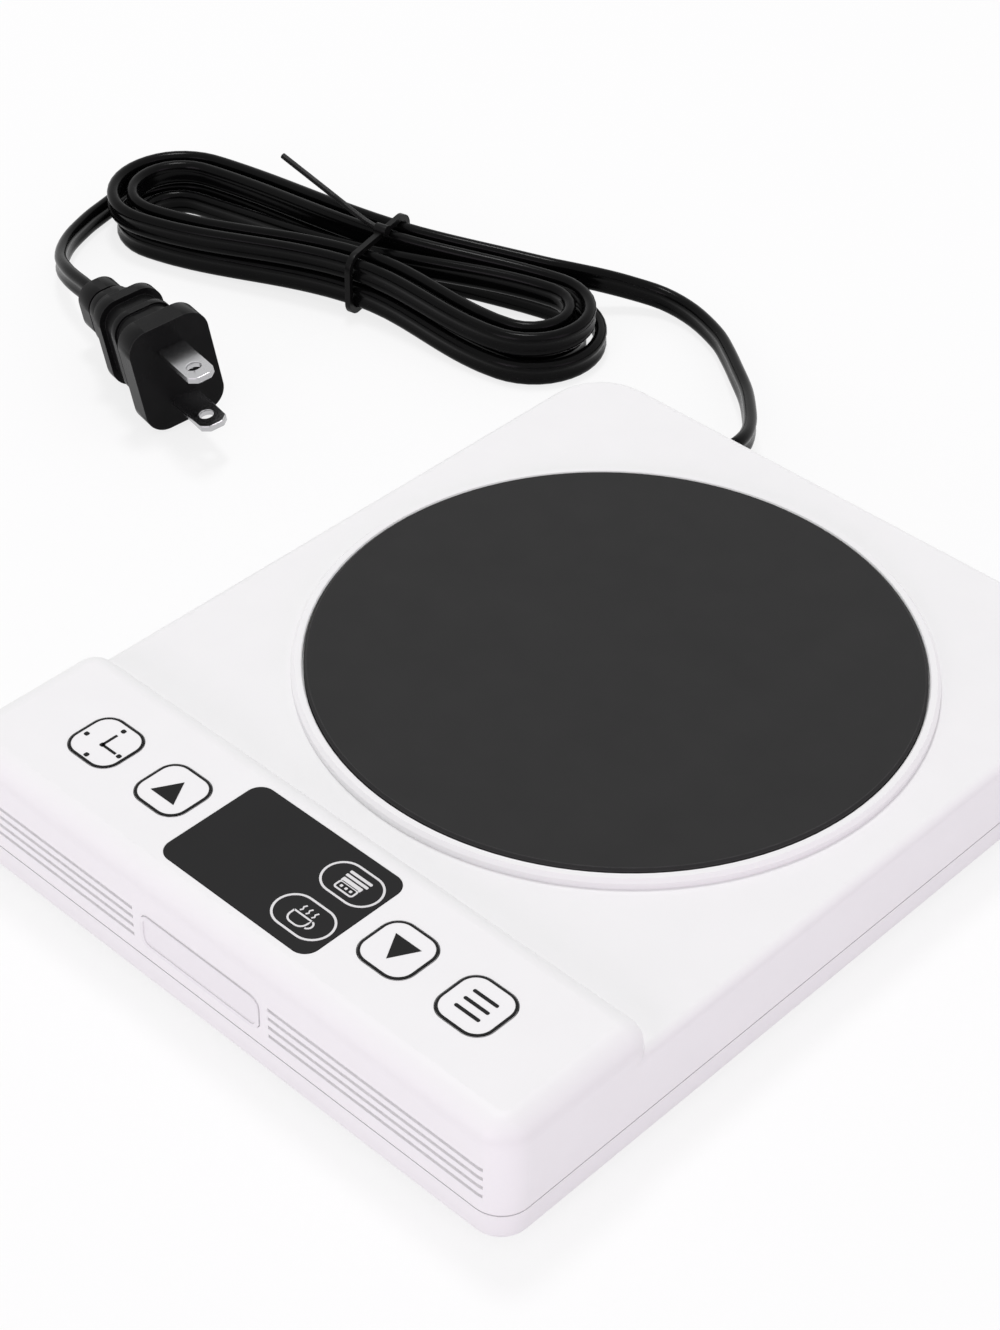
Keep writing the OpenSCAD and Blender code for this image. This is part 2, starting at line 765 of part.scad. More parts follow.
module sensor_clip() {
    strip_z = pan_under - sensor_drop - sensor_flange_t - clip_t;
    color(steel) translate([0, plate_y, 0]) {
        translate([-clip_half, -clip_w / 2, strip_z]) cube([2 * clip_half, clip_w, clip_t]);
        for (s = [0, 1]) mirror([s, 0, 0])
            translate([clip_half - clip_t, -clip_w / 2, strip_z]) cube([clip_t, clip_w, pan_under - strip_z]);
    }
}
module thermal_fuse() {
    color([0.85, 0.8, 0.7]) translate([-fuse_len / 2, plate_y + fuse_y, fuse_z])
        rotate([0, 90, 0]) cylinder(r = fuse_r, h = fuse_len);
}
module fuse_clip() {
    low = fuse_z - fuse_r - fuse_gap - clip_t;
    inner = fuse_r + fuse_gap;
    color(steel) translate([0, plate_y + fuse_y, 0]) {
        translate([-clip_w / 2, -inner - clip_t, low]) cube([clip_w, 2 * (inner + clip_t), clip_t]);
        for (s = [0, 1]) mirror([0, s, 0])
            translate([-clip_w / 2, inner, low]) cube([clip_w, clip_t, pan_under - low]);
    }
}

// Console
module display_lens() {
    color(charcoal) translate([0, key_y, lens_seat]) round_plate(lens_w, lens_d, lens_corner, lens_t);
}
module display_module() {
    inset = window_inset + 0.6;
    color(black) translate([0, key_y, control_top])
        round_plate(lens_w - 2 * inset, lens_d - 2 * inset, 0.6, lens_seat - control_top - 0.3);
}
module control_board() {
    color(board_green) difference() {
        translate([-control_w / 2, key_y - control_d / 2, control_under])
            cube([control_w, control_d, board_t]);
        at_control_screws()
            translate([0, 0, control_under - eps]) cylinder(r = control_shank_r + 0.2, h = board_t + 2 * eps);
    }
}
module control_board_screws() {
    color(steel) at_control_screws()
        screw_up(control_under, board_t + control_grip, control_shank_r, control_head_r, control_head_h);
}
module key_switches() {
    color(black) at_keys() difference() {
        translate([-switch_side / 2, -switch_side / 2, control_top])
            cube([switch_side, switch_side, switch_top - control_top]);
        translate([0, 0, plunger_end - key_travel - 0.2]) cylinder(r = plunger_r + plunger_fit, h = part_h);
    }
}
module key_cap(x) {
    flange_side = key_size + 2 * key_flange;
    color(white) translate([x, key_y, 0]) {
        translate([0, 0, flange_low])
            round_plate(flange_side, flange_side, key_corner + key_flange, key_flange_t);
        translate([0, 0, flange_low])
            round_plate(key_size, key_size, key_corner, console_z + key_proud - flange_low);
    }
}
module key_plunger(x) {
    color(black) translate([x, key_y, plunger_end]) cylinder(r = plunger_r, h = plunger_len);
}
module badge_plate() {
    rim = 0.8;
    color([0.88, 0.88, 0.9]) on_front(front_mid) translate([0, 0, -badge_sink]) difference() {
        round_plate(badge_w, badge_h, badge_corner, badge_t);
        translate([0, 0, badge_t - 0.25])
            round_plate(badge_w - 2 * rim, badge_h - 2 * rim, badge_corner - rim, badge_t);
    }
}

// Power board and what stands on it
module power_board() {
    color(board_green) difference() {
        translate([-power_w / 2, power_y - power_d / 2, power_under]) cube([power_w, power_d, board_t]);
        at_power_screws() translate([0, 0, power_under - eps]) cylinder(r = hole_r, h = board_t + 2 * eps);
    }
}
module power_board_screws() {
    color(steel) at_power_screws()
        screw_down(power_top, power_top - floor_z + pierce_depth - shank_end, shank_r, head_r - 0.4, head_h);
}
module on_board(place) {
    translate([place[0], power_y + place[1], power_top]) children();
}
module terminal_block() {
    color([0.2, 0.45, 0.3]) on_board(block_at) difference() {
        translate([-block_w / 2, -block_d / 2, 0]) cube([block_w, block_d, part_h]);
        for (s = [-1, 1])
            translate([s * block_w / 4, -1.5, block_mid]) cylinder(r = hole_r, h = part_h);
    }
}
module fuse_holder() {
    slot = 3.6;
    color(steel) on_board(holder_at) for (s = [-1, 1]) translate([s * holder_half, 0, 0]) difference() {
        translate([-holder_t / 2, -holder_w / 2, 0]) cube([holder_t, holder_w, holder_w]);
        translate([-holder_t, 0, cartridge_z]) rotate([0, 90, 0])
            cylinder(r = cartridge_r + 0.05, h = 2 * holder_t);
        translate([-holder_t, -slot / 2, cartridge_z + 1]) cube([2 * holder_t, slot, slot]);
    }
}
module mains_fuse() {
    color([0.85, 0.88, 0.9]) on_board(holder_at)
        translate([-cartridge_len / 2, 0, cartridge_z]) rotate([0, 90, 0])
            cylinder(r = cartridge_r, h = cartridge_len);
}
module relay() {
    color([0.15, 0.3, 0.6]) on_board(relay_at)
        translate([-relay_w / 2, -relay_d / 2, 0]) cube([relay_w, relay_d, part_h]);
}
module transformer() {
    color([0.85, 0.75, 0.3]) on_board(coil_at) {
        translate([-coil_side / 2, -coil_side / 2, 0]) cube([coil_side, coil_side, part_h - core_h]);
        translate([-core_w / 2, -core_d / 2, part_h - core_h]) cube([core_w, core_d, core_h]);
    }
}
module capacitor() {
    color(charcoal) on_board(can_at)
        translate([0, 0, can_r + 0.1]) rotate([-90, 0, 0]) cylinder(r = can_r, h = can_len);
}
module buzzer() {
    color(black) on_board(buzzer_at) difference() {
        cylinder(r = buzzer_r, h = buzzer_h);
        translate([0, 0, buzzer_h - 2]) cylinder(r = buzzer_hole_r, h = buzzer_h);
    }
}
module ribbon_cable() {
    color([0.75, 0.75, 0.78]) on_board(ribbon_at)
        translate([-ribbon_w / 2, -ribbon_t / 2, 0]) cube([ribbon_w, ribbon_t, control_under - power_top]);
}

// Wires held inside the case
module heater_wires() {
    low = terminal_end - heater_wire_drop;
    y = plate_y + terminal_y;
    color([0.75, 0.2, 0.15]) for (s = [-1, 1]) {
        x = s * terminal_x;
        tube(route([
            [x, y, terminal_end], [x, y, terminal_end - 1.5], [x, y - 4, low + 0.4],
            [x, y - heater_wire_run, low], [x, (y + power_back) / 2 - heater_wire_rise, low],
            [x, power_back - solder_in / 2, power_top + solder_rise],
            [x, power_back - solder_in, power_top + solder_rise / 2],
            [x, power_back - solder_in, power_top]
        ], 2), round_section(heater_wire_r), [1, 0, 0]);
    }
}
module sensor_wires() {
    z = pan_under - sensor_drop - sensor_flange_t / 2;
    y = plate_y - sensor_flange_r;
    back_in = solder_in - 0.5;
    color([0.85, 0.85, 0.85]) for (s = [-1, 1]) {
        x = s * sensor_wire_x;
        tube(route([
            [x, y, z], [x, y - 2, z], [x, y - sensor_wire_bend, z - sensor_wire_drop / 2],
            [x, y - sensor_wire_run, z - 0.75 * sensor_wire_drop],
            [x, power_back + sensor_wire_rise, z - sensor_wire_drop],
            [x, power_back - back_in + 1, power_top + solder_rise],
            [x, power_back - back_in, power_top + solder_rise / 2], [x, power_back - back_in, power_top]
        ], 2), round_section(sensor_wire_r), [1, 0, 0]);
    }
}
module inner_cord() {
    start_y = half_d - wall - relief_in;
    color(black) tube(route([
        [-outlet_x, start_y, outlet_z], [-outlet_x, start_y - 3, outlet_z],
        [clamp_x + 2, clamp_y + 0.8 * cord_w, inner_z + 1], [clamp_x, clamp_y, inner_z],
        [clamp_x, clamp_y - 2 * cord_w, inner_z], [inlet_x, 0.6 * clamp_y + 0.4 * power_back, inner_z],
        [inlet_x, 0.3 * clamp_y + 0.7 * power_back, inner_z],
        [inlet_x, power_back + 3 * cord_w, inner_z + 0.5],
        [inlet_x, power_back + cord_entry_run, cord_entry_z], [inlet_x, power_back, cord_entry_z]
    ], 3), section_8);
}

// Strain relief, clamp and free cord
module strain_relief() {
    ribs = 2;
    rib_w = 1;
    rib_step = (relief_out - collar_t) / ribs;
    tongue_t = 3;
    tongue_side = neck_side + 3;
    color(black) translate([-outlet_x, half_d, 0]) {
        translate([-neck_side / 2, -wall, seam_z]) cube([neck_side, wall, neck_side]);
        translate([-tongue_side / 2, -wall - tongue_t, seam_z])
            cube([tongue_side, tongue_t, neck_side + 1.5]);
        translate([0, -wall - tongue_t, outlet_z]) rotate([90, 0, 0])
            cylinder(r = sleeve_r, h = relief_in - tongue_t);
        translate([0, 0, outlet_z]) rotate([-90, 0, 0]) {
            cylinder(r = collar_r, h = collar_t);
            translate([0, 0, collar_t])
                cylinder(r1 = sleeve_r + 0.5, r2 = sleeve_r, h = relief_out - collar_t);
            for (k = [0 : ribs - 1])
                translate([0, 0, collar_t + (k + 0.5) * rib_step - rib_w / 2])
                    cylinder(r = sleeve_r + 0.8 - 0.2 * k, h = rib_w);
        }
    }
}
module cord_clamp() {
    color(white) difference() {
        translate([clamp_x - clamp_w / 2, clamp_y - clamp_d / 2, clamp_z]) cube([clamp_w, clamp_d, clamp_t]);
        at_clamp_screws() translate([0, 0, clamp_z - eps]) cylinder(r = hole_r, h = clamp_t + 2 * eps);
    }
}
module cord_clamp_screws() {
    color(steel) at_clamp_screws()
        screw_down(clamp_z + clamp_t, clamp_t + clamp_grip, shank_r, head_r, head_h);
}
module cord_lead() {
    color(black) translate(cord_origin) tube(lead_path, section_8);
}
module cord_hank() {
    color(black) translate(cord_origin) tube(hank_path, section_6);
}
module cord_tail() {
    color(black) translate(cord_origin) tube(tail_path, section_8);
}
module cord_tie() {
    spare = 0.8;
    in_w = 2 * (hank_r - 0.375 * hank_step - hank_waist + cord_t / 2 + spare);
    low = table_z + waist_lift - cord_w / 2 - 0.3;
    in_h = layer_step + cord_w + 0.6;
    bend_r = 2.4;
    knot_v = 2;
    knot_len = 3;
    top = in_h / 2 + tie_d / 2;
    middle = hank_place(waist_mid, hank_step / 4, low + in_h / 2);
    color(black) translate(cord_origin + middle) rotate(hank_angle) {
        rotate([90, 0, 90]) translate([0, 0, -tie_d / 2]) linear_extrude(tie_d) difference() {
            round_rect(in_w + 2 * tie_d, in_h + 2 * tie_d, bend_r + tie_d);
            round_rect(in_w, in_h, bend_r);
        }
        translate([-knot_len / 2, knot_v, in_h / 2 + tie_d]) rotate([0, 90, 0])
            cylinder(r = tie_d, h = knot_len);
        tube(curve([
            [0, knot_v, top + 0.6], [-5, knot_v + 0.3, top + 1.6], [-14, knot_v + 1.6, top + 4.5],
            [-30, knot_v + 4, top + 9.5]
        ], 3), round_section(tie_d / 2));
    }
}

// Plug, drawn along +X from the back of its sleeve
module at_plug() {
    translate(cord_origin + plug_back) rotate([plug_roll, -plug_tilt, plug_turn]) children();
}
module plug_block(x0, x1, w, h, r) {
    translate([x0, 0, 0]) rotate([90, 0, 90]) round_plate(w, h, r, x1 - x0);
}
module plug_body() {
    // Collar, ribs, finger flange, waist and face: where each ends, its width, height and corner
    steps = [
        [1.2, 7.6, 10.6, 3.4], [6.5, 10, 12.6, 4.2], [8, 9, 11.6, 3.8], [11, 10.6, 13.6, 4.3],
        [12, 10, 13, 4.1], [15, 12, 16, 4.6], [17.6, 13.4, 18.6, 4.8], [20.6, 16, 22, 5],
        [25.2, 13.6, 19.4, 4.6], [27, 15, 20.8, 4.8], [34.2, 13.8, 19.8, 4.6], [plug_len, 19.5, 25.4, 5]
    ];
    color(black) at_plug() for (i = [0 : len(steps) - 1])
        plug_block(i == 0 ? 0 : steps[i - 1][0], steps[i][0], steps[i][1], steps[i][2], steps[i][3]);
}
module plug_blades() {
    pitch = 12.7;
    blade_w = 6.35;
    blade_t = 1.5;
    blade_len = 16;
    tip = 1.5;
    hole_in = 4.8;
    blade_hole_r = 1.6;
    color(steel) at_plug() for (s = [-1, 1]) translate([plug_len, 0, s * pitch / 2]) difference() {
        translate([0, 0, -blade_t / 2]) linear_extrude(blade_t) polygon([
            [0, -blade_w / 2], [blade_len - tip, -blade_w / 2], [blade_len, tip - blade_w / 2],
            [blade_len, blade_w / 2 - tip], [blade_len - tip, blade_w / 2], [0, blade_w / 2]
        ]);
        translate([blade_len - hole_in, 0, -blade_t]) cylinder(r = blade_hole_r, h = 2 * blade_t);
    }
}

top_case();
bottom_cover();
rubber_feet();
case_screws();
plate_ring();
hot_plate();
heating_element();
insulation_pad();
heater_pan();
heater_screws();
temperature_sensor();
sensor_clip();
thermal_fuse();
fuse_clip();
display_lens();
display_module();
control_board();
control_board_screws();
key_switches();
key_cap(-key_outer);  // timer_key
key_cap(-key_inner);  // up_key
key_cap(key_inner);  // down_key
key_cap(key_outer);  // menu_key
key_plunger(-key_outer);  // timer_plunger
key_plunger(-key_inner);  // up_plunger
key_plunger(key_inner);  // down_plunger
key_plunger(key_outer);  // menu_plunger
badge_plate();
power_board();
power_board_screws();
terminal_block();
fuse_holder();
mains_fuse();
relay();
transformer();
capacitor();
buzzer();
ribbon_cable();
heater_wires();
sensor_wires();
inner_cord();
cord_clamp();
cord_clamp_screws();
strain_relief();
cord_lead();
cord_hank();
cord_tail();
cord_tie();
plug_body();
plug_blades();
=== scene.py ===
# %% [markdown]
# A portable hot plate, dressed step by step.
# The solids of the heater come in as a fixed frame, in metres, standing on the table at z = 0 with the
# front towards -Y. Nothing of that frame is moved. Each step below adds a finish or a fine piece to it.

# %% Load the solids
import json
import math

import bpy
from mathutils import Matrix, Vector


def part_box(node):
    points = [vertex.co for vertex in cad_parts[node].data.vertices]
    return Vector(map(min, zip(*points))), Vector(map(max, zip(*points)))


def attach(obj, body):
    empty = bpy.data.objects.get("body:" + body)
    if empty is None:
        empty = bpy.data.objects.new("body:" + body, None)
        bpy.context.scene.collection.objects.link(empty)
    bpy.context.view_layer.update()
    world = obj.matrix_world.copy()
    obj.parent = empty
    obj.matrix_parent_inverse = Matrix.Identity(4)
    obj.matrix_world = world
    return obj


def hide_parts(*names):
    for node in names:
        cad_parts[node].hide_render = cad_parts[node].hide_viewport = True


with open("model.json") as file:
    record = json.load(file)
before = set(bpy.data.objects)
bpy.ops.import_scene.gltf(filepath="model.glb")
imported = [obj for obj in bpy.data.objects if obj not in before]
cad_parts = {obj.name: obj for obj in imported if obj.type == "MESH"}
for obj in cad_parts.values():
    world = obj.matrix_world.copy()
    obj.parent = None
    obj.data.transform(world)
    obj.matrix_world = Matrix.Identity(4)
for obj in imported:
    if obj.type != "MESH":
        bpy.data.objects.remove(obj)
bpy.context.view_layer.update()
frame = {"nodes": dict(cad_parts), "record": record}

SOLIDS = frame["nodes"]
MM = 0.001

# %% [markdown]
# The camera.
# The photograph looks down on the right front corner with a long lens. A camera can be set by eye, but
# here its place was worked out from the case's known width and the run of its edges, so a pixel of the
# picture and a point of the solid agree. The lens axis meets the picture a little left of and above its
# middle. Blender's lens shift does the same.

# %% Set the camera
IMAGE_SIZE = (1000, 1330)
SENSOR_MM = 36.0
EYE_MM = Vector((271.01, -309.27, 372.61))
TURN, DOWN, ROLL = (math.radians(a) for a in (44.04, 39.35, 0.40))
FOCAL_PX = 2916.7
AXIS_PX = (450, 646)


def camera_axes():
    """Right, up and back of the camera, turned, tipped and rolled."""
    back = Vector((math.sin(TURN) * math.cos(DOWN), -math.cos(TURN) * math.cos(DOWN), math.sin(DOWN)))
    right = Vector((0, 0, 1)).cross(back).normalized()
    up = back.cross(right)
    right, up = (
        right * math.cos(ROLL) + up * math.sin(ROLL),
        up * math.cos(ROLL) - right * math.sin(ROLL),
    )
    return right, up, back


camera = bpy.data.objects.new("camera", bpy.data.cameras.new("camera"))
bpy.context.scene.collection.objects.link(camera)
camera.matrix_world = Matrix.Translation(EYE_MM * MM) @ Matrix(camera_axes()).transposed().to_4x4()
camera.data.sensor_width = SENSOR_MM
camera.data.lens = FOCAL_PX / IMAGE_SIZE[1] * SENSOR_MM
camera.data.shift_x = (IMAGE_SIZE[0] / 2 - AXIS_PX[0]) / IMAGE_SIZE[1]
camera.data.shift_y = (AXIS_PX[1] - IMAGE_SIZE[1] / 2) / IMAGE_SIZE[1]
camera.data.clip_start = 0.01
camera.data.clip_end = 20
bpy.context.scene.camera = camera
bpy.context.scene.view_settings.view_transform = "Standard"
print("lens in mm:", round(camera.data.lens, 2))

# %% [markdown]
# The route of the mains cord.
# The real cord is one length of flat twin flex. It leaves the back of the case, drops to the table,
# swings round and is folded into a hank, and its end runs to the plug. It could be drawn by hand as a
# curve. Here the route is the same list of points that the solid cord was swept along, so both lie in the
# same place.

# %% Points of the free cord
CORD_W, CORD_T = 6.0, 3.0
OUTLET = Vector((-38.0, 95.0, 0.0))
TABLE_GAP = 0.05
TABLE_Z = CORD_W / 2 + TABLE_GAP
OUTLET_Z = 11.5
LEAD = [
    (0, 0, OUTLET_Z), (0, 3, OUTLET_Z), (-1.5, 7.5, 10.6), (-4.5, 12.5, 9.4), (-8.5, 17.5, 8.2),
    (-16, 25.5, 6.2), (-24.5, 32.5, 4.8), (-31, 37.5, 4), (-38, 42, 3.5), (-48, 45.5, 3.4),
    (-57, 45.5, 4), (-64.5, 41.5, 5.6), (-70.5, 36, 7.8),
]
TAIL = [(-175.5, -35.5, 3.6), (-167.5, -44.5, 5.6), (-158, -49.8, 8.2)]
PLUG_BACK = Vector((-142, -54.3, 10.65))
PLUG_TURN, PLUG_TILT = math.radians(-14.4), math.radians(5)
PLUG_DIR = Vector((
    math.cos(PLUG_TURN) * math.cos(PLUG_TILT),
    math.sin(PLUG_TURN) * math.cos(PLUG_TILT),
    math.sin(PLUG_TILT),
))
print("points of the lead and the tail:", len(LEAD), len(TAIL))

# %% [markdown]
# From points to a line.
# A cord has no corners, so the chosen points are joined by a smooth curve that passes through each of
# them. A curve object could do that too, but its handles would have to be set one by one. The short
# formula below is the usual one for such curves. The points are then set at even steps, so the mesh along
# the cord is even too.

# %% Smooth and even lines
CURVE_STEPS = 6
POINT_GAP = 2.4


def smooth_curve(points):
    """Points of a smooth curve through the given ones."""
    points = [Vector(p) for p in points]
    out = []
    for i in range(len(points) - 1):
        a, b = points[max(i - 1, 0)], points[i]
        c, d = points[i + 1], points[min(i + 2, len(points) - 1)]
        for k in range(CURVE_STEPS):
            t = k / CURVE_STEPS
            out.append(0.5 * (2 * b + (c - a) * t + (2 * a - 5 * b + 4 * c - d) * t**2
                              + (3 * b - a - 3 * c + d) * t**3))
    return out + [points[-1]]


def even_spacing(points, gap):
    """The same line with points at even steps of about that gap."""
    lengths = [(b - a).length for a, b in zip(points, points[1:])]
    total = sum(lengths)
    count = round(total / gap)
    out, at, start = [], 0, 0.0
    for k in range(count + 1):
        # The last point stays a hair short of the end, inside the last stretch.
        want = min(total * k / count, total - 1e-9)
        while start + lengths[at] < want:
            start += lengths[at]
            at += 1
        out.append(points[at].lerp(points[at + 1], (want - start) / lengths[at]))
    return out, total


print("steps between two points:", CURVE_STEPS, "then a gap in mm of about", POINT_GAP)

# %% [markdown]
# The hank.
# Two turns of flex lie on two more, like a flattened coil drawn in at the waist by a wire tie. A cloth or
# rope simulation could settle it, but would come out a little different each time. A rule is steadier:
# each turn is a racetrack of two runs and two half circles, whose radius shrinks steadily on the upper
# layer and grows again on the lower one.

# %% Points of the hank
HANK_MID, HANK_ANGLE = (-117.5, 2.0), math.radians(13.5)
HANK_HALF = 49.0
HANK_R, HANK_STEP = 17.6, 4.6
HANK_TURNS, FALL_TURN = 2, 0.25
HANK_WAIST, WAIST_MID, WAIST_LIFT = 6.2, 7.0, 1.9
LAYER = 6.5


def hank_place(u, v, z):
    """A point of the hank: u along it, v across it, z above the table."""
    c, s = math.cos(HANK_ANGLE), math.sin(HANK_ANGLE)
    return Vector((HANK_MID[0] + u * c - v * s, HANK_MID[1] + u * s + v * c, z))


def hank_point(turn):
    """Where the cord is after that many turns."""
    if turn < HANK_TURNS:
        r = HANK_R - HANK_STEP * turn
    elif turn < HANK_TURNS + FALL_TURN:
        r = HANK_R - HANK_STEP * HANK_TURNS
    else:
        r = HANK_R - HANK_STEP * (2 * HANK_TURNS + FALL_TURN - turn)
    # A turn has four sides: a run, a fold, the run back and the other fold.
    side, share = divmod((turn % 1) * 4, 1)
    if side == 0:
        u, v = HANK_HALF * (1 - 2 * share), r
    elif side == 2:
        u, v = HANK_HALF * (2 * share - 1), -r
    else:
        swing = math.pi * (share + 0.5) if side == 1 else math.pi * (share - 0.5)
        middle = -HANK_HALF if side == 1 else HANK_HALF
        u, v = middle + r * math.cos(swing), r * math.sin(swing)
    reach = HANK_HALF + WAIST_MID if u < WAIST_MID else HANK_HALF - WAIST_MID
    waist = math.cos(math.pi / 2 * (u - WAIST_MID) / reach) ** 2 if abs(u) < HANK_HALF else 0.0
    fall = min(max((turn - HANK_TURNS) / FALL_TURN, 0), 1)
    layer = 1 - fall * fall * (3 - 2 * fall)
    v -= math.copysign(HANK_WAIST * waist, v)
    return hank_place(u, v, TABLE_Z + LAYER * layer + WAIST_LIFT * waist)


# %% Join lead, hank and tail
TURN_FIRST, TURN_LAST = 1 / 24, 105 / 24
RING_POINTS = 96
LOOK_AHEAD = 1 / 24


def cord_route():
    """Points of the whole cord, from the outlet to the back of the plug."""
    turns = round((TURN_LAST - TURN_FIRST) * RING_POINTS)
    rings = [hank_point(TURN_FIRST + k / RING_POINTS) for k in range(turns + 1)]
    into = (hank_point(TURN_FIRST + LOOK_AHEAD) - rings[0]).normalized()
    out_of = hank_place(0, -1, 0) - hank_place(0, 0, 0)
    start, end = rings[0] - CORD_W * into, rings[-1] + CORD_W * out_of
    lead = [Vector(LEAD[0])] + smooth_curve(LEAD[1:] + [start - CORD_W * into])
    tail = smooth_curve([end + CORD_W * out_of] + TAIL + [PLUG_BACK - CORD_W * PLUG_DIR]) + [PLUG_BACK]
    return [OUTLET + p for p in lead + [start] + rings + [end] + tail]


CORD_PATH, CORD_LENGTH = even_spacing(cord_route(), POINT_GAP)
print("cord length in mm:", round(CORD_LENGTH), "points:", len(CORD_PATH))

# %% [markdown]
# The body of the cord.
# Flat twin flex has two round cores side by side with a shallow valley between them. A curve with a bevel
# profile would do, but it twists where it likes. Sweeping the section by hand keeps the wide side
# upright, as the hank holds it.

# %% Sweep a section along a line
UPRIGHT = Vector((0, 0, 1))


def sweep(name, path, section):
    """A tube mesh: section is a list of (side, up) in mm, path a list of points in mm."""
    n, m = len(path), len(section)
    verts = []
    for i, p in enumerate(path):
        along = (path[min(i + 1, n - 1)] - path[max(i - 1, 0)]).normalized()
        side = UPRIGHT.cross(along).normalized()
        up = along.cross(side)
        verts += [(p + side * s + up * u) * MM for s, u in section]
    faces = [
        (i * m + k, i * m + (k + 1) % m, (i + 1) * m + (k + 1) % m, (i + 1) * m + k)
        for i in range(n - 1) for k in range(m)
    ]
    faces += [tuple(range(m - 1, -1, -1)), tuple(range((n - 1) * m, n * m))]
    mesh = bpy.data.meshes.new(name)
    mesh.from_pydata([tuple(v) for v in verts], [], faces)
    mesh.polygons.foreach_set("use_smooth", [len(f) == 4 for f in faces])
    obj = bpy.data.objects.new(name, mesh)
    bpy.context.scene.collection.objects.link(obj)
    return obj


# %% Section of the twin flex
VALLEY = 0.45


def twin_section(w, t, valley):
    """Outline of two cores side by side, w wide and t thick, with a valley on each face."""
    # Each core is a half circle of nine points, cut short where it runs into the valley.
    r, far = t / 2, (w - t) / 2
    angles = [math.radians(-90 + 180 * k / 8) for k in range(9)]
    core = [(r * math.cos(a), r * math.sin(a)) for a in angles]
    right = [(c, far + s) for c, s in core[3:]]
    left = [(c, s - far) for c, s in core[:6]]
    face = left + [(r - valley, 0.0)] + right
    return face + [(-c, s) for c, s in reversed(face)][1:-1]


mains_cord = sweep("mains_cord", CORD_PATH, twin_section(CORD_W, CORD_T, VALLEY))
print("cord faces:", len(mains_cord.data.polygons))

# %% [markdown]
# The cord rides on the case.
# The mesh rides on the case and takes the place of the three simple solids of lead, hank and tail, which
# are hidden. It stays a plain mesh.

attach(mains_cord, "case")
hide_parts("cord_lead", "cord_hank", "cord_tail")
print("cord leaves the case at, in mm:", [round(c, 1) for c in CORD_PATH[0]])

# %% [markdown]
# Floor, light and background.
# The picture is a bright catalogue shot with almost no shadow: light comes from all round, most of it
# from above. A single lamp would leave the sides dark. A pale sky and three lamps fill them and keep the
# white case from burning out. Floor and sky both need to know whether a ray is looking at them or only
# carries their light to something else, so that question gets a helper of its own.

# %% Helpers for materials
def new_material(name):
    """An empty material, its nodes and links, and its output node."""
    mat = bpy.data.materials.new(name)
    mat.use_nodes = True
    nodes, links = mat.node_tree.nodes, mat.node_tree.links
    nodes.clear()
    return mat, nodes, links, nodes.new("ShaderNodeOutputMaterial")


def seen_share(nodes, links, share):
    """That share where the surface is looked at, straight, mirrored or through glass, else nothing."""
    path = nodes.new("ShaderNodeLightPath")
    seen = path.outputs["Is Camera Ray"]
    for ray in ("Is Glossy Ray", "Is Transmission Ray"):
        either = nodes.new("ShaderNodeMath")
        either.operation = "MAXIMUM"
        links.new(seen, either.inputs[0])
        links.new(path.outputs[ray], either.inputs[1])
        seen = either.outputs[0]
    scaled = nodes.new("ShaderNodeMath")
    scaled.operation = "MULTIPLY"
    links.new(seen, scaled.inputs[0])
    scaled.inputs[1].default_value = share
    return scaled.outputs[0]


# %% [markdown]
# The floor.
# On the real shot this is a white sweep of paper. A plain white plane under these lamps would come out
# grey, and more light would burn out the case. So the plane glows a little where it is looked at, and the
# rest of its brightness is plain matt paint, which still holds a soft shadow.

# %% Floor
FLOOR_SIZE, FLOOR_DROP = 8.0, 0.0001
FLOOR_WHITE = (0.92, 0.915, 0.925, 1)
FLOOR_SHARE = 0.8


def pale_floor():
    """Matt paint that glows a little where it is looked at."""
    mat, nodes, links, out = new_material("pale_floor")
    matte = nodes.new("ShaderNodeBsdfDiffuse")
    matte.inputs["Color"].default_value = FLOOR_WHITE
    glow = nodes.new("ShaderNodeEmission")
    glow.inputs["Color"].default_value = (1, 1, 1, 1)
    glow.inputs["Strength"].default_value = 1.0
    mix = nodes.new("ShaderNodeMixShader")
    links.new(seen_share(nodes, links, FLOOR_SHARE), mix.inputs["Fac"])
    links.new(matte.outputs[0], mix.inputs[1])
    links.new(glow.outputs[0], mix.inputs[2])
    links.new(mix.outputs[0], out.inputs["Surface"])
    return mat


bpy.ops.mesh.primitive_plane_add(size=FLOOR_SIZE, location=(0, 0, -FLOOR_DROP))
floor = bpy.context.object
floor.name = "table_floor"
floor.data.materials.append(pale_floor())
print("floor across in m:", FLOOR_SIZE)

# %% [markdown]
# Sky and lamps.
# The sky stands for the white walls of the studio. An overhead lamp, small enough to draw a thin glint
# along each strand of the cord, lights the top. Two broad ones in front and at the right lift the sides,
# and they lean a little to pink, as the sides of the case do in the picture. A picture of a studio could
# light the scene as well, but three lamps are easier to understand and to change.

# %% Sky
SKY_LIGHT = 0.6


def pale_sky():
    """White where it is looked at, and a plain even light on matt surfaces."""
    world = bpy.data.worlds.new("pale_sky")
    world.use_nodes = True
    nodes, links = world.node_tree.nodes, world.node_tree.links
    nodes.clear()
    out = nodes.new("ShaderNodeOutputWorld")
    mix = nodes.new("ShaderNodeMixShader")
    links.new(seen_share(nodes, links, 1.0), mix.inputs["Fac"])
    for place, strength in ((1, SKY_LIGHT), (2, 1.0)):
        shade = nodes.new("ShaderNodeBackground")
        shade.inputs["Color"].default_value = (1, 1, 1, 1)
        shade.inputs["Strength"].default_value = strength
        links.new(shade.outputs[0], mix.inputs[place])
    links.new(mix.outputs[0], out.inputs["Surface"])
    bpy.context.scene.world = world


pale_sky()
print("sky light on matt surfaces:", SKY_LIGHT)

